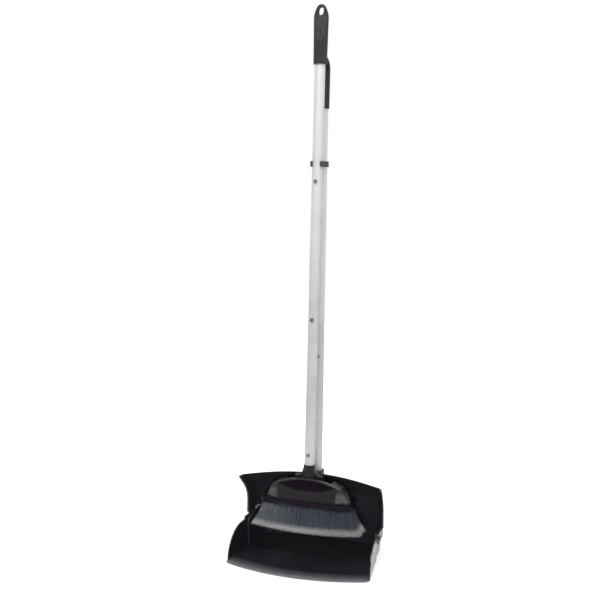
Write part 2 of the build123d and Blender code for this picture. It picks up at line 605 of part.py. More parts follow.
def body_outline():
    """Front view of the head's body: sloping ends, round shoulders and an arched crown."""
    bar_top = BLOCK_BOTTOM + BLOCK_BAR
    left_shoulder = (-SHOULDER_HALF_WIDTH, SHOULDER_HEIGHT)
    right_shoulder = (SHOULDER_HALF_WIDTH, SHOULDER_HEIGHT)
    lines = Curve() + [
        Polyline(left_shoulder, (-FOOT_HALF_WIDTH, bar_top), (FOOT_HALF_WIDTH, bar_top), right_shoulder),
        ThreePointArc(right_shoulder, (0, CROWN_HEIGHT), left_shoulder),
    ]
    face = make_face(lines)
    return fillet(face.vertices().sort_by(Axis.Y)[-2:], SHOULDER_ROUND)


def head_body():
    """Arched body, with a front and back that turn towards each other at the ends."""
    quarter = [(FACET_FROM, BODY_HALF_DEPTH), (BLOCK_HALF_WIDTH, END_HALF_DEPTH)]
    right = [(x, -y) for x, y in quarter] + quarter[::-1]
    plan = make_face(Polyline(*right, *[(-x, -y) for x, y in right], close=True))
    body = extrude(Plane.XZ * body_outline(), BLOCK_HALF_DEPTH, both=True)
    body &= extrude(plan, CROWN_HEIGHT + SPARE)
    arch = body.edges().filter_by(lambda e: e.center().Z > SHOULDER_HEIGHT)
    return fillet(arch.filter_by(GeomType.CIRCLE), RIDGE_ROUND)


def crown_step():
    """Space behind the ridge, where the crown is lower."""
    front, back = RIDGE_DEPTH - BODY_HALF_DEPTH, BLOCK_HALF_DEPTH
    space = block(-STEP_HALF_WIDTH, STEP_HALF_WIDTH, front, back, BLOCK_BOTTOM, CROWN_HEIGHT + SPARE)
    return space - along_y(0, CROWN_CENTRE, CROWN_RADIUS - CROWN_STEP, front, back)


def recess():
    """Lens under the arch's ridge on the front: level with the face at the foot, deepest at the top."""
    tip = crown_z(RECESS_HALF_WIDTH, RIDGE_WIDTH)
    left, right = (-RECESS_HALF_WIDTH, tip), (RECESS_HALF_WIDTH, tip)
    top = CROWN_HEIGHT - RIDGE_WIDTH
    upper = ThreePointArc(left, (0, top), right)
    lower = ThreePointArc(right, (0, RECESS_LOW), left)
    lens = extrude(Plane.XZ * make_face(Curve() + [upper, lower]), BLOCK_HALF_DEPTH + SPARE)
    face = -BODY_HALF_DEPTH
    wedge = make_face(Polyline((face, RECESS_LOW), (face + RECESS_DEPTH, top), (face - SPARE, top),
                               (face - SPARE, RECESS_LOW), close=True))
    return lens & extrude(Plane.YZ * wedge, BLOCK_HALF_WIDTH, both=True)


def broom_block():
    """Head: a straight bar with a pocket for the tuft plate, and the arched body on it."""
    bar = extrude(RectangleRounded(2 * BLOCK_HALF_WIDTH, 2 * BLOCK_HALF_DEPTH, BAR_CORNER), BLOCK_BAR)
    bar = Pos(0, 0, BLOCK_BOTTOM) * fillet(bar.faces().sort_by(Axis.Z)[-1].edges(), BAR_ROUND)
    head = bar + (head_body() - recess() - crown_step())
    half_width, half_depth = PLATE_HALF_WIDTH + SLIP, PLATE_HALF_DEPTH + SLIP
    head -= block(-half_width, half_width, -half_depth, half_depth, BLOCK_BOTTOM - SPARE, PLATE_TOP)
    head -= block(-CAVITY_HALF_WIDTH, CAVITY_HALF_WIDTH, -CAVITY_HALF_DEPTH, CAVITY_HALF_DEPTH,
                  PLATE_TOP, CAVITY_TOP)
    head -= upright(0, 0, FERRULE_COLLAR_RADIUS + SLIP, FERRULE_SEAT, CROWN_HEIGHT + SPARE)
    head -= upright(0, 0, FERRULE_PLUG_RADIUS + SLIP, FERRULE_SEAT - FERRULE_PLUG, CROWN_HEIGHT)
    for side in (-1, 1):
        head -= upright(side * PLATE_SCREW_X, 0, PLATE_SCREW_RADIUS + SLIP, PLATE_TOP,
                        PLATE_TOP + PLATE_SCREW_BITE + SLIP)
    return head


def tuft_roots(row):
    """Root and tip of each tuft in a row, as pairs of points."""
    y = ROW_ROOTS[row]
    for i in range(TUFTS_IN_ROW):
        u = 2 * i / (TUFTS_IN_ROW - 1) - 1
        root = Vector(u * TUFT_ROOT_SPAN, y, PLATE_BOTTOM)
        tip = Vector(u * TUFT_TIP_SPAN, y * ROW_SPREAD_RATIO, TIP_HEIGHT + TIP_RISE * u**2)
        yield root, tip


def tuft_root(root):
    return upright(root.X, root.Y, TUFT_ROOT_RADIUS, PLATE_BOTTOM, PLATE_BOTTOM + TUFT_HOLE)


def bristle_row(row):
    """Row of separate tufts, each set in its hole and widening to its tip."""
    tufts = []
    for root, tip in tuft_roots(row):
        start = root + (root - tip) * TUFT_RUN_UP_SHARE
        run = tip - start
        plane = Plane(origin=start + run / 2, z_dir=run.normalized())
        tuft = plane * Cone(TUFT_NECK_RADIUS, TUFT_TIP_RADIUS, run.length)
        tuft -= block(root.X - SPARE, root.X + SPARE, root.Y - SPARE, root.Y + SPARE,
                      PLATE_BOTTOM, PLATE_BOTTOM + SPARE)
        tufts.append(tuft + tuft_root(root))
    return tufts


def tuft_plate():
    plate = block(-PLATE_HALF_WIDTH, PLATE_HALF_WIDTH, -PLATE_HALF_DEPTH, PLATE_HALF_DEPTH,
                  PLATE_BOTTOM, PLATE_TOP)
    holes = [tuft_root(root) for row in ROW_ROOTS for root, tip in tuft_roots(row)]
    head_top = PLATE_BOTTOM + PLATE_SCREW_HEAD
    for side in (-1, 1):
        x = side * PLATE_SCREW_X
        holes.append(upright(x, 0, PLATE_SCREW_RADIUS + SLIP, PLATE_BOTTOM, PLATE_TOP))
        holes.append(upright(x, 0, PLATE_SCREW_HEAD_RADIUS + SLIP, PLATE_BOTTOM, head_top))
    return plate - holes


def plate_screws():
    screws = []
    for side in (-1, 1):
        x = side * PLATE_SCREW_X
        screw = upright(x, 0, PLATE_SCREW_HEAD_RADIUS, PLATE_BOTTOM, PLATE_BOTTOM + PLATE_SCREW_HEAD)
        screws.append(screw + upright(x, 0, PLATE_SCREW_RADIUS, PLATE_BOTTOM, PLATE_TOP + PLATE_SCREW_BITE))
    return screws


def pan_handle():
    """Sections, buttons and springs of the pan's handle, by node name."""
    low, high = PAN_BUTTON, PAN_BUTTON + SECTION_PITCH
    tube_top = PAN_GRIP_BOTTOM + PAN_GRIP_LENGTH - grip_solid(PAN_GRIP_RADIUS)
    lower = tube_section(BOSS_TOP - BOSS_LENGTH + BOSS_FLOOR, low + SPIGOT_LAP, top_button=low)
    lower -= across(0, BOLT_HEIGHT, BOLT_RADIUS + SLIP, -BOSS_RADIUS, BOSS_RADIUS)
    upper = tube_section(high + SPIGOT_LAP, tube_top, spigot_button=high)
    upper -= along_y(0, CLIP_HEIGHT, CLIP_SCREW_RADIUS + SLIP, 0, TUBE_RADIUS + SPARE)
    return {
        "pan_lower_tube": lower,
        "pan_middle_tube": tube_section(low + SPIGOT_LAP, high + SPIGOT_LAP, high, low),
        "pan_upper_tube": upper,
        "pan_lower_button": snap_button(low),
        "pan_upper_button": snap_button(high),
        "pan_lower_spring": hairpin(low),
        "pan_upper_spring": hairpin(high),
        "pan_grip": hand_grip(PAN_GRIP_BOTTOM, PAN_GRIP_LENGTH, PAN_GRIP_RADIUS, PAN_GRIP_END_RADIUS),
    }


def broom_handle():
    """Sections, buttons and springs of the broom's handle, on an upright axis, by node name."""
    low, middle, high = (BROOM_BUTTON + i * SECTION_PITCH for i in range(3))
    tube_top = BROOM_GRIP_BOTTOM + BROOM_GRIP_LENGTH - grip_solid(GRIP_RADIUS)
    lower = tube_section(FERRULE_TOP - TUBE_SEAT, middle + SPIGOT_LAP, top_button=middle)
    return {
        "broom_lower_tube": lower - button_hole(low, TUBE_BORE, TUBE_RADIUS),
        "broom_middle_tube": tube_section(middle + SPIGOT_LAP, high + SPIGOT_LAP, high, middle),
        "broom_upper_tube": tube_section(high + SPIGOT_LAP, tube_top, spigot_button=high),
        "broom_lower_button": snap_button(low),
        "broom_middle_button": snap_button(middle),
        "broom_upper_button": snap_button(high),
        "broom_lower_spring": hairpin(low),
        "broom_middle_spring": hairpin(middle),
        "broom_upper_spring": hairpin(high),
        "broom_grip": hand_grip(BROOM_GRIP_BOTTOM, BROOM_GRIP_LENGTH, GRIP_RADIUS, GRIP_END_RADIUS),
    }


def broom_head():
    """Pieces of the broom's head on an upright axis, by node name."""
    pieces = {
        "broom_ferrule": broom_ferrule(),
        "broom_stub": broom_stub(),
        "broom_block": broom_block(),
        "tuft_plate": tuft_plate(),
        "plate_screws": plate_screws(),
    }
    for row in ROW_ROOTS:
        pieces["bristle_row_" + row] = bristle_row(row)
    return pieces


def all_pieces():
    pieces = {
        "pan_hood": pan_hood(),
        "handle_bolt": handle_bolt(),
        "handle_nut": handle_nut(),
        "hinge_pins": hinge_pins(),
        "pan_tray": pan_tray(),
        "tray_lip": tray_lip(),
        "broom_clip": broom_clip(),
        "clip_screw": clip_screw(),
    }
    pieces.update(pan_handle())
    for name, piece in {**broom_handle(), **broom_head()}.items():
        pieces[name] = [leaning(p) for p in piece] if isinstance(piece, list) else leaning(piece)
    return pieces


os.makedirs("parts", exist_ok=True)
for node, piece in all_pieces().items():
    solids = Compound(children=piece) if isinstance(piece, list) else piece
    export_step(solids, "parts/" + node + ".step")
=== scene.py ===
import math
import random

import bpy
from mathutils import Matrix, Vector


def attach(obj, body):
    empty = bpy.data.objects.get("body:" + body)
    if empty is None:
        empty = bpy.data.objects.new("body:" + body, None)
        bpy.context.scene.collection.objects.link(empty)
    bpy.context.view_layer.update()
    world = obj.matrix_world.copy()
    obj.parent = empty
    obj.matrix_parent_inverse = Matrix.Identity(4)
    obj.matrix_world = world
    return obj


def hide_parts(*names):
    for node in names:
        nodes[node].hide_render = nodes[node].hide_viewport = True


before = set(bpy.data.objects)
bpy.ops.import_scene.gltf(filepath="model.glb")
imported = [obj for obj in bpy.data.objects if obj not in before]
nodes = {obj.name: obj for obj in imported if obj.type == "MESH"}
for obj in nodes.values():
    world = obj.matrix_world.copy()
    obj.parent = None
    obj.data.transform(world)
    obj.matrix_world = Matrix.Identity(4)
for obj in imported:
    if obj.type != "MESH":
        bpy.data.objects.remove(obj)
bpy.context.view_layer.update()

# Pan hood. The rear half of the pan: floor, back, flared cheeks, hinge ears and the handle's boss, in one
# injection moulding of black polypropylene with a glossy, slightly cloudy skin. It stands on its flat floor.
# Its upper walls are painted a lighter black, a painted light. The part below keeps the plain black, as
# painted shade under the tray.
PAN_BLACK = ((0.008, 0.007, 0.010), (0.013, 0.012, 0.016))
LIT_BLACK = ((0.017, 0.016, 0.020), (0.024, 0.023, 0.028))
LIGHTER_FROM, LIGHTER_TO, LIGHTER_SWAY = 0.030, 0.080, 0.030
CLOUD_SCALE, CLOUD_DETAIL, CLOUD_ROUGH = 26.0, 3.0, 0.16    # blotches a metre, and their part in the gloss
PAN_ROUGH, PAN_SPECULAR = 0.36, 0.35
PAN_GRAIN, PAN_BUMP = 700.0, 0.04
HOOD_COAT, COAT_ROUGH, HOOD_EDGE = 0.4, 0.08, 0.0003
EDGE_SAMPLES = 6
MIX_SHARE, MIX_FIRST, MIX_SECOND, MIX_RESULT = 0, 6, 7, 2    # the Mix node's colour sockets


class Wire:
    """An output socket of a node tree. Arithmetic on it adds Math nodes."""

    def __init__(self, socket):
        self.socket = socket

    @staticmethod
    def node(tree, kind, settings=None, sockets=None, out=0):
        """Adds a node, makes its settings, sets or links its sockets, and gives one of its outputs."""
        made = tree.nodes.new("ShaderNode" + kind)
        for name, value in (settings or {}).items():
            if name == "stops":
                ramp = made.color_ramp
                while len(ramp.elements) < len(value):
                    ramp.elements.new(1.0)
                for element, (position, colour) in zip(ramp.elements, value):
                    element.position = position
                    element.color = (*colour, 1.0)
            else:
                setattr(made, name, value)
        for name, value in (sockets or {}).items():
            if isinstance(value, Wire):
                tree.links.new(value.socket, made.inputs[name])
            else:
                made.inputs[name].default_value = value
        return Wire(made.outputs[out]) if made.outputs else None

    def maths(self, operation, left, right=0.0):
        return Wire.node(self.socket.id_data, "Math", {"operation": operation}, {0: left, 1: right})

    def __add__(self, other):
        return self.maths("ADD", self, other)

    def __sub__(self, other):
        return self.maths("SUBTRACT", self, other)

    def __rsub__(self, other):
        return self.maths("SUBTRACT", other, self)

    def __mul__(self, other):
        return self.maths("MULTIPLY", self, other)

    def __gt__(self, other):
        return self.maths("GREATER_THAN", self, other)

    def __lt__(self, other):
        return self.maths("LESS_THAN", self, other)

    def __or__(self, other):
        return self.maths("MAXIMUM", self, other)

    def __abs__(self):
        return self.maths("ABSOLUTE", self)

    __radd__ = __add__
    __rmul__ = __mul__
    __ror__ = __or__


def new_finish(name):
    """An empty material, its node tree and its object coordinates."""
    material = bpy.data.materials.new(name)
    material.use_nodes = True
    tree = material.node_tree
    tree.nodes.clear()
    return material, tree, Wire.node(tree, "TexCoord", out="Object")


def along(tree, place, axis):
    """One coordinate of a place."""
    return Wire.node(tree, "SeparateXYZ", None, {"Vector": place}, axis)


def mottle(tree, place, scale, detail=2.0, stretch=(1, 1, 1)):
    """Blotches about 1 / scale metres across, drawn out along the axes whose stretch is small."""
    mapped = Wire.node(tree, "Mapping", None, {"Vector": place, "Scale": stretch})
    return Wire.node(tree, "TexNoise", None, {"Vector": mapped, "Scale": scale, "Detail": detail})


def sway(blotches, width, middle=0.5):
    """Blotches as a shift to either side of their middle level."""
    return (blotches - middle) * width


def fade_in(tree, value, start, end, low=0.0, high=1.0, smooth=False):
    """Goes from low to high while a value goes from start to end, and is level outside."""
    settings = {"clamp": True, "interpolation_type": "SMOOTHSTEP" if smooth else "LINEAR"}
    return Wire.node(tree, "MapRange", settings, {
        "Value": value, "From Min": start, "From Max": end, "To Min": low, "To Max": high})


def two_tone(tree, blotches, tones, low=0.35, high=0.7):
    """A colour that goes from the first tone to the second while blotches go from low to high."""
    return Wire.node(tree, "ValToRGB", {"stops": list(zip((low, high), tones))}, {"Fac": blotches})


def mix_tones(tree, share, first, second):
    """The first colour where the share is 0, and the second where it is 1."""
    return Wire.node(tree, "Mix", {"data_type": "RGBA"},
                     {MIX_SHARE: share, MIX_FIRST: first, MIX_SECOND: second}, MIX_RESULT)


def close_finish(tree, sockets, height=None, bump=0.0, depth=0.0002, edge=0.0):
    """Ends a finish in a Principled shader, with softened edges and a bump from a height if there is one."""
    normal = {}
    if edge:
        normal["Normal"] = Wire.node(tree, "Bevel", {"samples": EDGE_SAMPLES}, {"Radius": edge})
    if height is not None:
        normal["Normal"] = Wire.node(tree, "Bump", None,
                                     {"Height": height, "Strength": bump, "Distance": depth, **normal})
    shader = Wire.node(tree, "BsdfPrincipled", None, {**sockets, **normal})
    Wire.node(tree, "OutputMaterial", None, {"Surface": shader})


def dress(material, *names):
    """Gives a finish to CAD nodes that keep their shape."""
    for name in names:
        nodes[name].data.materials.clear()
        nodes[name].data.materials.append(material)


material, tree, place = new_finish("hood_black")
cloud = mottle(tree, place, CLOUD_SCALE, CLOUD_DETAIL)
# painted light: the hood's black is painted lighter towards the top, and stays darker low down as painted
# shade
painted_light = fade_in(tree, along(tree, place, "Z") + sway(cloud, LIGHTER_SWAY), LIGHTER_FROM, LIGHTER_TO, smooth=True)
tint = mix_tones(tree, painted_light, two_tone(tree, cloud, PAN_BLACK), two_tone(tree, cloud, LIT_BLACK))
close_finish(tree, {"Base Color": tint, "Roughness": PAN_ROUGH + sway(cloud, CLOUD_ROUGH),
                    "Specular IOR Level": PAN_SPECULAR,
                    "Coat Weight": HOOD_COAT, "Coat Roughness": COAT_ROUGH},
             mottle(tree, place, PAN_GRAIN), PAN_BUMP, edge=HOOD_EDGE)
dress(material, "pan_hood")

# Pan tray. The front half of the pan, a floor between two arched wings, moulded in the hood's plastic.
# Each wing turns on a pin between the hood's base and the ear outside it, so that the tray can swing up.


def moulded_plastic(name, tones, rough, grain, bump, specular=0.5, coat=0.0, edge=0.0008):
    """Moulded plastic: cloudy tint, uneven gloss, a fine grain and slightly rounded edges."""
    material, tree, place = new_finish(name)
    cloud = mottle(tree, place, CLOUD_SCALE, CLOUD_DETAIL)
    close_finish(tree, {"Base Color": two_tone(tree, cloud, tones),
                        "Roughness": rough + sway(cloud, CLOUD_ROUGH), "Specular IOR Level": specular,
                        "Coat Weight": coat, "Coat Roughness": COAT_ROUGH},
                 mottle(tree, place, grain), bump, edge=edge)
    return material


tray_black = moulded_plastic("tray_black", PAN_BLACK, PAN_ROUGH, PAN_GRAIN, PAN_BUMP,
                             specular=PAN_SPECULAR, coat=0.5, edge=0.0004)
dress(tray_black, "pan_tray")

# Hinge pins. Two headed pins of the pan's own black plastic that carry the tray.
# Each goes in from the side, through the hood's ear and the tray's wing, and ends in the hood's base.
dress(tray_black, "hinge_pins")

# Lip strip. A soft wedge of black rubber along the tray's curved front edge, butted to it.
# It rubs on the floor, so it is dull, and it is painted grey towards its thin edge, a painted reflection of
# the bright room on its bevel.
LIP_CENTRE, LIP_RADIUS, LIP_BAND = (0, 0.1933, 0), 0.3501, 0.028
LIP_STOPS = ((0.0, (0.012, 0.012, 0.015)), (0.5, (0.048, 0.049, 0.056)), (1.0, (0.15, 0.152, 0.163)))
LIP_STREAK_SCALE, LIP_STREAK_DETAIL, LIP_STREAK_STRETCH, LIP_STREAK_SWAY = 60.0, 4.0, (1.0, 0.25, 1.0), 0.012
LIP_ROUGH, RUB_ROUGH = 0.42, 0.2
LIP_GRAIN, LIP_BUMP = 900.0, 0.1


def radius_about(tree, place, centre, axes):
    """The distance of a place from a centre, with only some of the axes counted."""
    offset = Wire.node(tree, "VectorMath", {"operation": "SUBTRACT"}, {0: place, 1: centre})
    flat = Wire.node(tree, "VectorMath", {"operation": "MULTIPLY"}, {0: offset, 1: axes})
    return Wire.node(tree, "VectorMath", {"operation": "LENGTH"}, {0: flat}, "Value")


material, tree, place = new_finish("lip_rubber")
lip_streak = mottle(tree, place, LIP_STREAK_SCALE, LIP_STREAK_DETAIL, LIP_STREAK_STRETCH)
# painted reflection: the rubber is painted lighter grey towards its thin edge, for the bright room its bevel
# reflects
painted_highlight = fade_in(tree, radius_about(tree, place, LIP_CENTRE, (1, 1, 0)) + sway(lip_streak, LIP_STREAK_SWAY),
               LIP_RADIUS - LIP_BAND, LIP_RADIUS)
tint = Wire.node(tree, "ValToRGB", {"stops": LIP_STOPS}, {"Fac": painted_highlight})
close_finish(tree, {"Base Color": tint, "Roughness": LIP_ROUGH + lip_streak * RUB_ROUGH},
             mottle(tree, place, LIP_GRAIN), LIP_BUMP)
dress(material, "tray_lip")

# Handle tubes. Drawn aluminium tube in three sections a handle. The upper two have a drawn-in foot that
# enters the section below, and a short stub joins the broom's lowest section to its neck. The satin polish
# leaves faint lines along the tube. The grey varies in random patches, and it is painted darker towards the
# bottom, a painted shade for the light that falls from above.
TUBE_GREYS = ((0.49, 0.49, 0.49), (0.61, 0.61, 0.61))
DARKEST_TO, LIGHTEST_FROM, PATCH_SHARE, LIGHTER_PER_METRE = 0.40, 0.58, 0.5, 0.5
PATCH_SCALE, PATCH_DETAIL = 18.0, 3.0
LINE_SCALE, LINE_DETAIL, LINE_STRETCH = 420.0, 3.0, (1.0, 1.0, 0.02)
TUBE_METAL, TUBE_ROUGH, LINE_ROUGH = 0.35, 0.50, 0.12
LINE_BUMP, LINE_DEPTH = 0.06, 0.0001
material, tree, place = new_finish("satin_tube")
lines = mottle(tree, place, LINE_SCALE, LINE_DETAIL, LINE_STRETCH)
patch = mottle(tree, place, PATCH_SCALE, PATCH_DETAIL)
# painted shade: the grey is painted darker towards the bottom, for the light that falls from above
patches_and_height = patch * PATCH_SHARE + along(tree, place, "Z") * LIGHTER_PER_METRE
tint = two_tone(tree, patches_and_height, TUBE_GREYS, DARKEST_TO, LIGHTEST_FROM)
close_finish(tree, {"Base Color": tint, "Metallic": TUBE_METAL, "Roughness": TUBE_ROUGH + lines * LINE_ROUGH},
             lines, LINE_BUMP, LINE_DEPTH)
dress(material, "pan_lower_tube", "pan_middle_tube", "pan_upper_tube", "broom_lower_tube",
      "broom_middle_tube", "broom_upper_tube", "broom_stub")

# Fasteners and springs. Zinc-plated steel: the cross bolt and nut of the boss, the clip's screw, the tuft
# plate's screws, and the flat hairpin springs that sit in the tubes and push the snap buttons out.
ZINC_GREYS = ((0.42, 0.42, 0.43), (0.60, 0.60, 0.62))
SPANGLE_SCALE, SPANGLE_DETAIL, SPANGLE_LOW, SPANGLE_HIGH = 220.0, 3.0, 0.3, 0.75
ZINC_ROUGH, SPANGLE_ROUGH = 0.28, 0.2
material, tree, place = new_finish("plated_steel")
spangle = mottle(tree, place, SPANGLE_SCALE, SPANGLE_DETAIL)
tint = two_tone(tree, spangle, ZINC_GREYS, SPANGLE_LOW, SPANGLE_HIGH)
close_finish(tree, {"Base Color": tint, "Metallic": 1.0, "Roughness": ZINC_ROUGH + spangle * SPANGLE_ROUGH})
dress(material, "handle_bolt", "handle_nut", "clip_screw", "plate_screws", "pan_lower_spring",
      "pan_upper_spring", "broom_lower_spring", "broom_middle_spring", "broom_upper_spring")

# Snap buttons. Round buttons of hard, dark grey nylon that stand out through a hole in each lap of two tubes.
# A flange keeps each one in, and the tubes that slide over it polish it.
button_grey = moulded_plastic("button_grey", ((0.10, 0.10, 0.105), (0.16, 0.16, 0.165)), rough=0.34,
                              grain=1500.0, bump=0.05)
dress(button_grey, "pan_lower_button", "pan_upper_button", "broom_lower_button", "broom_middle_button",
      "broom_upper_button")

# Grips. Hand grips of black plastic, pushed over the tops of both handles, with a hang slot at the end.
# They have a fine moulded grain, soft edges, and faint streaks along them from hands and use.
GRIP_TONES = ((0.012, 0.012, 0.013), (0.040, 0.040, 0.042))
STREAK_SCALE, STREAK_STRETCH, STREAK_LOW, STREAK_HIGH = 260.0, (1.0, 1.0, 0.02), 0.3, 0.7
GRIP_ROUGH, STREAK_ROUGH, GRIP_SPECULAR = 0.50, 0.2, 0.18
GRIP_GRAIN, GRIP_BUMP, GRIP_EDGE = 1300.0, 0.15, 0.005
material, tree, place = new_finish("grip_black")
streak = mottle(tree, place, STREAK_SCALE, stretch=STREAK_STRETCH)
close_finish(tree, {"Base Color": two_tone(tree, streak, GRIP_TONES, STREAK_LOW, STREAK_HIGH),
                    "Roughness": GRIP_ROUGH + sway(streak, STREAK_ROUGH),
                    "Specular IOR Level": GRIP_SPECULAR},
             mottle(tree, place, GRIP_GRAIN), GRIP_BUMP, edge=GRIP_EDGE)
dress(material, "pan_grip", "broom_grip")

# Clip. A ring with an open jaw, moulded in one piece of black plastic with the grips' grain.
# A screw fixes the ring on the pan's handle, and the broom's handle snaps into the jaw.
clip_black = moulded_plastic("clip_black", ((0.035, 0.035, 0.037), (0.060, 0.060, 0.063)), rough=0.5,
                             grain=GRIP_GRAIN, bump=GRIP_BUMP, specular=0.25)
dress(clip_black, "broom_clip")

# Broom head. A moulded block of black plastic with an arched crown, a ridge along the crown's front edge, a
# lens-shaped recess under the ridge, and a bar along its foot. The recess and the bar are the dullest.
# The ridge and the slanted ends are painted grey, a painted highlight of the light that the ridge's round
# edge and the ends' slanted faces catch.
BROOM_FOOT = Vector((0, -0.059, 0))
BROOM_LEAN = math.atan(0.040)
CROWN_RADIUS, CROWN_CENTRE = 0.14828, 0.00672
RIDGE_WIDTH, RIDGE_BACK = 0.0035, 0.0105
RIDGE_UNLIT, RIDGE_LIT, RIDGE_SWAY = 0.0022, 0.0008, 0.0015    # depths below the crown's edge
SHOULDER_FROM, SHOULDER_TO, SHOULDER_LEAST = 0.030, 0.044, 0.35    # the right shoulder is painted the brightest
LENS_RADIUS, LENS_CENTRE = 0.1396, 0.2706
BAR_TOP, BAR_SWAY = 0.112, 0.004
FOOT_TOP, FOOT_SWAY, FOOT_LEAST = 0.131, 0.008, 0.15    # above the foot, the ends keep the least painted highlight
FACET_FROM, FACET_SWAY, HIGHLIGHT_FADE = 0.055, 0.006, 0.004
HEAD_BLACK = ((0.0030, 0.0014, 0.0034), (0.0056, 0.0032, 0.0062))
HIGHLIGHT_GREY = ((0.034, 0.033, 0.037), (0.062, 0.061, 0.066))
HIGHLIGHT_SCALE, HIGHLIGHT_DETAIL, HIGHLIGHT_LOW, HIGHLIGHT_HIGH = 140.0, 4.0, 0.3, 0.7
HEAD_ROUGH, HIGHLIGHT_ROUGH, HEAD_SPECULAR = 0.40, 0.15, 0.07
BAR_COAT, FACE_COAT, HEAD_COAT_ROUGH = 0.05, 0.17, 0.18
HEAD_GRAIN, HEAD_BUMP, HEAD_EDGE = 900.0, 0.06, 0.0008
material, tree, place = new_finish("head_black")
cloud = mottle(tree, place, CLOUD_SCALE, CLOUD_DETAIL)
highlight_noise = mottle(tree, place, HIGHLIGHT_SCALE, HIGHLIGHT_DETAIL)
upright = Wire.node(tree, "VectorRotate", {"rotation_type": "X_AXIS"},
                    {"Vector": place, "Center": BROOM_FOOT, "Angle": BROOM_LEAN})
aside, height = along(tree, upright, "X"), along(tree, upright, "Z")
ahead = BROOM_FOOT.y - along(tree, upright, "Y")
from_crown = radius_about(tree, upright, (0, 0, CROWN_CENTRE), (1, 0, 1))
from_lens = radius_about(tree, upright, (0, 0, LENS_CENTRE), (1, 0, 1))
ridge = fade_in(tree, from_crown + sway(highlight_noise, RIDGE_SWAY),
                CROWN_RADIUS - RIDGE_UNLIT, CROWN_RADIUS - RIDGE_LIT)
shoulder = fade_in(tree, aside, SHOULDER_FROM, SHOULDER_TO, low=SHOULDER_LEAST)
end = fade_in(tree, abs(aside) + sway(highlight_noise, FACET_SWAY), FACET_FROM, FACET_FROM + HIGHLIGHT_FADE)
above_bar = fade_in(tree, height + sway(highlight_noise, BAR_SWAY), BAR_TOP, BAR_TOP + HIGHLIGHT_FADE)
under_crown = fade_in(tree, height + sway(highlight_noise, FOOT_SWAY), FOOT_TOP - HIGHLIGHT_FADE, FOOT_TOP + HIGHLIGHT_FADE,
                      low=1.0, high=FOOT_LEAST)
# painted highlight: the ridge, the right shoulder most, and the slanted ends are painted grey for the light
# they catch
painted_highlight = ridge * shoulder * (ahead > RIDGE_BACK) | end * above_bar * under_crown
recess = (from_crown < CROWN_RADIUS - RIDGE_WIDTH) * (from_lens < LENS_RADIUS)
tint = mix_tones(tree, painted_highlight, two_tone(tree, cloud, HEAD_BLACK),
                 two_tone(tree, highlight_noise, HIGHLIGHT_GREY, HIGHLIGHT_LOW, HIGHLIGHT_HIGH))
close_finish(tree, {"Base Color": tint,
                    "Roughness": HEAD_ROUGH + sway(cloud, CLOUD_ROUGH) + painted_highlight * HIGHLIGHT_ROUGH,
                    "Specular IOR Level": HEAD_SPECULAR,
                    "Coat Weight": (1 - recess) * (BAR_COAT + above_bar * FACE_COAT),
                    "Coat Roughness": HEAD_COAT_ROUGH},
             mottle(tree, place, HEAD_GRAIN), HEAD_BUMP, edge=HEAD_EDGE)
dress(material, "broom_block")

# Neck and tuft plate. Two more mouldings of the head's plastic, more matt than it and not quite as dark.
# The neck is plugged into the crown and holds the handle. The plate is screwed into the head from below.
neck_black = moulded_plastic("neck_black", ((0.005, 0.005, 0.006), (0.010, 0.010, 0.011)), rough=0.45,
                             grain=HEAD_GRAIN, bump=HEAD_BUMP, specular=0.2)
dress(neck_black, "broom_ferrule", "tuft_plate")

# Fibres. Bundles of grey polypropylene filaments, fixed in the plate's holes in four rows and fanned out.
# Their ends are split, or flagged, which makes the sweeping edge pale and soft, and the left half is painted
# lighter, a painted light from the left. A few filaments have come loose at the head's left end and hang
# there in a hook.
TUFTS = 17
ROWS = (-0.012, -0.005, 0.005, 0.012)
ROOT_SPAN, TIP_SPAN, ROW_SPREAD = 0.082, 0.1000, 0.4
ROOT_RADIUS, TIP_HALF, TIP_DEPTH_SHARE = 0.0022, 0.0064, 0.8
ROOT_HEIGHT, TIP_HEIGHT, TIP_RISE = 0.102, 0.051, 0.0065
FLARE, BURST = 2.0, 0.3    # powers by which a tuft leans out and opens
STRAY_ASIDE, STRAY_SHORT, BOW = 0.0008, 0.0012, 0.0006
FILAMENTS, RINGS, SIDES = 110, 8, 3
GIRTH, FINE_FROM, FINE_SHARE = 0.00030, 0.7, 0.45    # a filament's radius, and how its end thins
LOOSE = 26
LOOSE_PATH = ((-0.0815, -0.012, 0.0990), (-0.0840, -0.016, 0.0962), (-0.0880, -0.0165, 0.0966),
              (-0.0925, -0.0165, 0.0950), (-0.0960, -0.0165, 0.0922), (-0.0982, -0.016, 0.0885))
LOOSE_ASIDE, LOOSE_UP, LOOSE_FAN = 0.0007, 0.0006, 3    # they are this far apart at the path's fourth point
FIBRE_GREY = ((0.021, 0.025, 0.034), (0.040, 0.046, 0.060))
FIBRE_LIT = ((0.066, 0.076, 0.088), (0.110, 0.123, 0.139))
FIBRE_PALE = ((0.33, 0.335, 0.337), (0.39, 0.396, 0.398))
STRAND_SCALE, STRAND_DETAIL, STRAND_STRETCH = 900.0, 1.0, (1.0, 1.0, 0.05)
STRAND_LOW, STRAND_HIGH, FIBRE_ROUGH = 0.3, 0.7, 0.5
PALE_TO, GREY_FROM, PALE_SWAY = 0.007, 0.016, 0.004    # heights above the sweeping edge
LEFT_LIT_FULL, LEFT_LIT_NONE, LEFT_LIT_SWAY = -0.085, 0.0, 0.03
LOOSE_BEYOND, LOOSE_ABOVE, LOOSE_PALE = -0.0865, 0.084, 0.5
SEED = 7
broom_place = Matrix.Translation(BROOM_FOOT) @ Matrix.Rotation(-BROOM_LEAN, 4, "X")
draw = random.Random(SEED)
points, faces = [], []


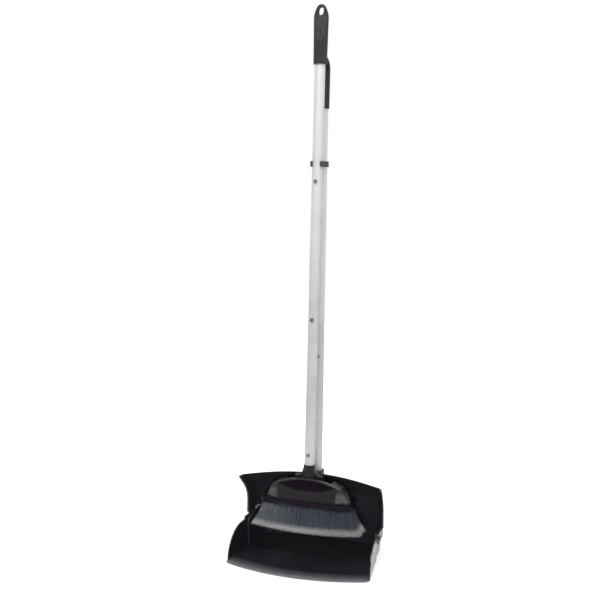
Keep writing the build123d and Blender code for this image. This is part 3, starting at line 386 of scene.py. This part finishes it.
def add_filament(path, turn):
    """Adds one filament along a path of points, thinned towards its split end."""
    first = len(points)
    for ring, centre in enumerate(path):
        t = ring / (len(path) - 1)
        thin = max(0.0, t - FINE_FROM) / (1 - FINE_FROM)
        girth = GIRTH * (1 - (1 - FINE_SHARE) * thin)
        for side in range(SIDES):
            a = 2 * math.pi * side / SIDES + turn
            points.append(broom_place @ (centre + Vector((math.cos(a), math.sin(a), 0)) * girth))
    for ring in range(len(path) - 1):
        for side in range(SIDES):
            a = first + ring * SIDES + side
            b = first + ring * SIDES + (side + 1) % SIDES
            faces.append((a, b, b + SIDES, a + SIDES))
    faces.append(tuple(first + side for side in reversed(range(SIDES))))
    last = first + (len(path) - 1) * SIDES
    faces.append(tuple(last + side for side in range(SIDES)))


for depth in ROWS:
    for tuft in range(TUFTS):
        u = 2 * tuft / (TUFTS - 1) - 1
        for _ in range(FILAMENTS):
            turn, reach = draw.uniform(0, 2 * math.pi), ROOT_RADIUS * math.sqrt(draw.random())
            root = Vector((reach * math.cos(turn), reach * math.sin(turn), 0))
            tip = Vector((draw.uniform(-TIP_HALF, TIP_HALF),
                          draw.uniform(-TIP_HALF, TIP_HALF) * TIP_DEPTH_SHARE, 0))
            stray = Vector((draw.gauss(0, STRAY_ASIDE), draw.gauss(0, STRAY_ASIDE),
                            abs(draw.gauss(0, STRAY_SHORT))))
            bow = Vector((draw.gauss(0, BOW), draw.gauss(0, BOW), 0))
            trim = ((u * TIP_SPAN + tip.x) / TIP_SPAN) ** 2
            path = []
            for ring in range(RINGS):
                t = ring / (RINGS - 1)
                lean, open_up = t ** FLARE, t ** BURST
                middle = Vector((u * (ROOT_SPAN + (TIP_SPAN - ROOT_SPAN) * lean),
                                 depth * (1 + ROW_SPREAD * lean),
                                 ROOT_HEIGHT + (TIP_HEIGHT + TIP_RISE * trim - ROOT_HEIGHT) * t))
                path.append(middle + root * (1 - open_up) + tip * open_up
                            + stray * t + bow * math.sin(math.pi * t))
            add_filament(path, turn)
for _ in range(LOOSE):
    shift = Vector((draw.gauss(0, LOOSE_ASIDE), draw.gauss(0, LOOSE_ASIDE), draw.gauss(0, LOOSE_UP)))
    add_filament([Vector(step) + shift * (ring / LOOSE_FAN) for ring, step in enumerate(LOOSE_PATH)], 0.0)
mesh = bpy.data.meshes.new("fibres")
mesh.from_pydata(points, [], faces)
mesh.shade_smooth()
fibres = bpy.data.objects.new("fibres", mesh)
bpy.context.scene.collection.objects.link(fibres)
material, tree, place = new_finish("grey_fibre")
strand = mottle(tree, place, STRAND_SCALE, STRAND_DETAIL, STRAND_STRETCH)
across, height = along(tree, place, "X"), along(tree, place, "Z")
edge_height = TIP_HEIGHT + across * across * (TIP_RISE / TIP_SPAN ** 2)
above_pale = fade_in(tree, height - edge_height + sway(strand, PALE_SWAY), PALE_TO, GREY_FROM)
loose = (across < LOOSE_BEYOND) * (height > LOOSE_ABOVE)
# painted light: the fibres are painted lighter towards the left end, for light that comes from the left
left_light = fade_in(tree, across + sway(strand, LEFT_LIT_SWAY), LEFT_LIT_FULL, LEFT_LIT_NONE, low=1.0, high=0.0, smooth=True)
grey, lit_fibre, pale = [two_tone(tree, strand, tones, STRAND_LOW, STRAND_HIGH)
                     for tones in (FIBRE_GREY, FIBRE_LIT, FIBRE_PALE)]
# painted highlight: the loose filaments are painted half way to the tips' pale, for the light they catch
tint = mix_tones(tree, above_pale * (1 - loose * LOOSE_PALE), pale, mix_tones(tree, left_light, grey, lit_fibre))
close_finish(tree, {"Base Color": tint, "Roughness": FIBRE_ROUGH})
mesh.materials.append(material)
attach(fibres, "broom")
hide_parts("bristle_row_front", "bristle_row_front_mid", "bristle_row_rear_mid", "bristle_row_rear")

# Floor. A plain pale sheet that the set stands on, matt so that it takes a soft shadow.
# What the camera, a mirror or glass sees of it glows up to white, and it throws no more light for that.
# Near the set it is greyer under the glow, so that it doesn't light the pan from below.
FLOOR_HALF, FLOOR_DROP = 4.0, 0.0005
NEAR_GREY, NEAR_GLOW, NEAR_TO = (0.30, 0.30, 0.30, 1), 0.71, 0.25
FAR_GREY, FAR_GLOW, FAR_FROM = (0.8, 0.8, 0.8, 1), 0.75, 0.6
WHITE = (1, 1, 1, 1)
floor_mesh = bpy.data.meshes.new("floor")
floor_mesh.from_pydata([(-FLOOR_HALF, -FLOOR_HALF, 0), (FLOOR_HALF, -FLOOR_HALF, 0),
                        (FLOOR_HALF, FLOOR_HALF, 0), (-FLOOR_HALF, FLOOR_HALF, 0)], [], [(0, 1, 2, 3)])
floor = bpy.data.objects.new("floor", floor_mesh)
floor.location.z = -FLOOR_DROP
bpy.context.scene.collection.objects.link(floor)
material, tree, place = new_finish("pale_floor")
camera_ray, glossy_ray, through_ray = [
    Wire.node(tree, "LightPath", out=ray)
    for ray in ("Is Camera Ray", "Is Glossy Ray", "Is Transmission Ray")]
seen = Wire.node(tree, "Math", {"operation": "ADD", "use_clamp": True},
                 {0: camera_ray + glossy_ray, 1: through_ray})
near, far = [
    Wire.node(tree, "AddShader", None, {
        0: Wire.node(tree, "Emission", None, {"Color": WHITE, "Strength": seen * glow}),
        1: Wire.node(tree, "BsdfDiffuse", None, {"Color": grey})})
    for grey, glow in ((NEAR_GREY, NEAR_GLOW), (FAR_GREY, FAR_GLOW))]
away = Wire.node(tree, "VectorMath", {"operation": "LENGTH"}, {0: place}, "Value")
ground = Wire.node(tree, "MixShader", None, {
    0: fade_in(tree, away, NEAR_TO, FAR_FROM, smooth=True), 1: near, 2: far})
Wire.node(tree, "OutputMaterial", None, {"Surface": ground})
floor_mesh.materials.append(material)

# Surroundings. A white room: white behind the set, and dimmer on the camera's side, so that the front of the
# black pan stays black. The camera itself sees plain white everywhere.
DIM_UNTIL, WHITE_FROM, DIM = -0.3, 0.5, 0.36
world = bpy.data.worlds.new("studio")
bpy.context.scene.world = world
world.use_nodes = True
tree = world.node_tree
tree.nodes.clear()
backward = along(tree, Wire.node(tree, "TexCoord", out="Generated"), "Y")
behind = fade_in(tree, backward, DIM_UNTIL, WHITE_FROM, low=DIM, smooth=True)
camera_ray = Wire.node(tree, "LightPath", out="Is Camera Ray")
sky = Wire.node(tree, "Background", None,
                {"Color": WHITE, "Strength": camera_ray + (1 - camera_ray) * behind})
Wire.node(tree, "OutputWorld", None, {"Surface": sky})

# Lamps. Soft boxes overhead, in front and at both sides, at a plain level.
# A small fill near the floor, with a narrow beam, brings out the fibres, and the pan's gloss doesn't show it.


def soft_lamp(name, place, target, size, watts, spread=180.0, mirrored=True):
    """Hangs a rectangular lamp at a place and points it at a target."""
    lamp = bpy.data.lights.new(name, "AREA")
    lamp.shape = "RECTANGLE"
    lamp.size, lamp.size_y = size
    lamp.energy = watts
    lamp.spread = math.radians(spread)
    holder = bpy.data.objects.new(name, lamp)
    holder.visible_glossy = mirrored
    holder.location = place
    holder.rotation_euler = (Vector(target) - Vector(place)).to_track_quat("-Z", "Y").to_euler()
    bpy.context.scene.collection.objects.link(holder)


soft_lamp("overhead", (0.0, -0.6, 2.6), target=(0, 0, 0.3), size=(1.8, 1.8), watts=12)
soft_lamp("front", (0.13, -1.05, 1.95), target=(0, 0, 0.9), size=(1.0, 1.0), watts=25)
soft_lamp("left", (-1.9, -0.9, 1.0), target=(0, 0, 0.4), size=(1.2, 1.8), watts=4)
soft_lamp("right", (1.9, -0.9, 0.8), target=(0, 0, 0.3), size=(1.2, 1.6), watts=6)
soft_lamp("fill", (0.40, -1.75, 0.36), target=(0, -0.05, 0.03), size=(0.4, 0.15), watts=0.42, spread=17.0,
          mirrored=False)

# Camera. A short telephoto at about waist height, a little to the right of the set and looking slightly down.
# It is turned by the yaw, tipped by the pitch and leant by the roll that the photograph's view has.
CAMERA_PLACE = Vector((0.49265, -1.70813, 0.7038))
YAW, PITCH, ROLL = math.radians(17.282), math.radians(7.241), math.radians(0.784)
SENSOR_WIDTH, FOCAL_LENGTH = 36.0, 57.68
optics = bpy.data.cameras.new("camera")
optics.sensor_width, optics.lens = SENSOR_WIDTH, FOCAL_LENGTH
camera = bpy.data.objects.new("camera", optics)
forward = Vector((-math.sin(YAW) * math.cos(PITCH), math.cos(YAW) * math.cos(PITCH), -math.sin(PITCH)))
level = Vector((math.cos(YAW), math.sin(YAW), 0))
upward = level.cross(forward)
right = level * math.cos(ROLL) + upward * math.sin(ROLL)
top = upward * math.cos(ROLL) - level * math.sin(ROLL)
camera.matrix_world = Matrix((
    (right.x, top.x, -forward.x, CAMERA_PLACE.x),
    (right.y, top.y, -forward.y, CAMERA_PLACE.y),
    (right.z, top.z, -forward.z, CAMERA_PLACE.z),
    (0, 0, 0, 1)))
bpy.context.scene.collection.objects.link(camera)
bpy.context.scene.camera = camera
bpy.context.scene.view_settings.view_transform = "Standard"
